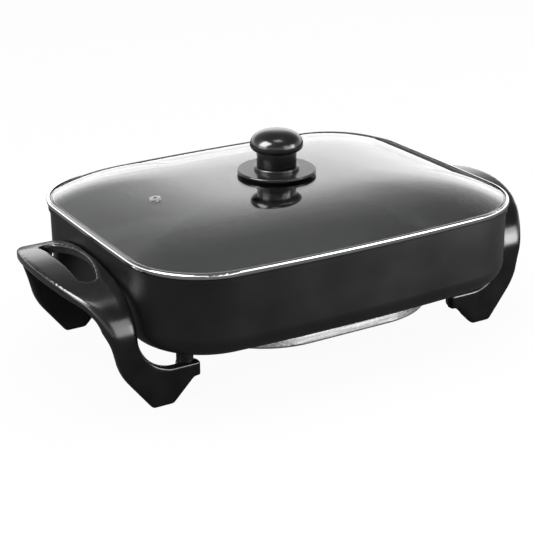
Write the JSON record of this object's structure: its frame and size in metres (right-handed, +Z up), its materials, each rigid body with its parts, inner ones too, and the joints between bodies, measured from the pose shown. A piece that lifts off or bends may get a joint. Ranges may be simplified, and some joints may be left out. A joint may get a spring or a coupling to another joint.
{
  "type": "electric skillet",
  "caption": "Rectangular electric skillet with arch handles that are also its legs, a socket for a plug-in probe, and a lift-off domed glass lid.",
  "frame": {"origin": "on the table plane, under the middle of the pan", "axes": "+X along the pan's length towards the probe socket, +Y to the back, +Z up"},
  "size_m": [0.527, 0.33, 0.2079],
  "materials": {
    "nonstick_black": "satin black non-stick coating on cast aluminium",
    "bare_aluminium": "bare cast, brushed underneath",
    "element_sheath": "oxidised sheath",
    "terminal_steel": "plated",
    "terminal_ceramic": "unglazed",
    "guard_steel": "satin sheet steel",
    "screw_steel": "zinc plated",
    "phenolic_black": "glossy moulded phenolic",
    "band_steel": "polished stainless steel",
    "dome_glass": "clear tempered glass",
    "insert_brass": "turned",
    "seal_rubber": "silicone"
  },
  "bodies": {
    "base": {"skillet_pan": "nonstick_black", "heater_plate": "bare_aluminium", "heating_element": "element_sheath", "terminal_pin_front": "terminal_steel", "terminal_pin_back": "terminal_steel", "pin_insulator_front": "terminal_ceramic", "pin_insulator_back": "terminal_ceramic", "probe_sleeve": "terminal_steel", "terminal_guard": "guard_steel", "guard_screw_front": "screw_steel", "guard_screw_back": "screw_steel", "right_handle": "phenolic_black", "left_handle": "phenolic_black", "handle_screw_left_front": "screw_steel", "handle_washer_left_front": "screw_steel", "handle_screw_left_back": "screw_steel", "handle_washer_left_back": "screw_steel", "handle_screw_right_front": "screw_steel", "handle_washer_right_front": "screw_steel", "handle_screw_right_back": "screw_steel", "handle_washer_right_back": "screw_steel"},
    "lid": {"lid_rim": "band_steel", "lid_glass": "dome_glass", "vent_grommet": "band_steel", "knob_flange": "phenolic_black", "knob_collar": "phenolic_black", "lid_knob": "phenolic_black", "knob_insert": "insert_brass", "knob_gasket": "seal_rubber", "knob_washer": "screw_steel", "knob_screw": "screw_steel"}
  },
  "joints": [
    {"name": "lid_lift", "type": "slide", "parent": "base", "child": "lid", "axis": [0, 0, 1], "range_m": [0, 0.12]}
  ]
}
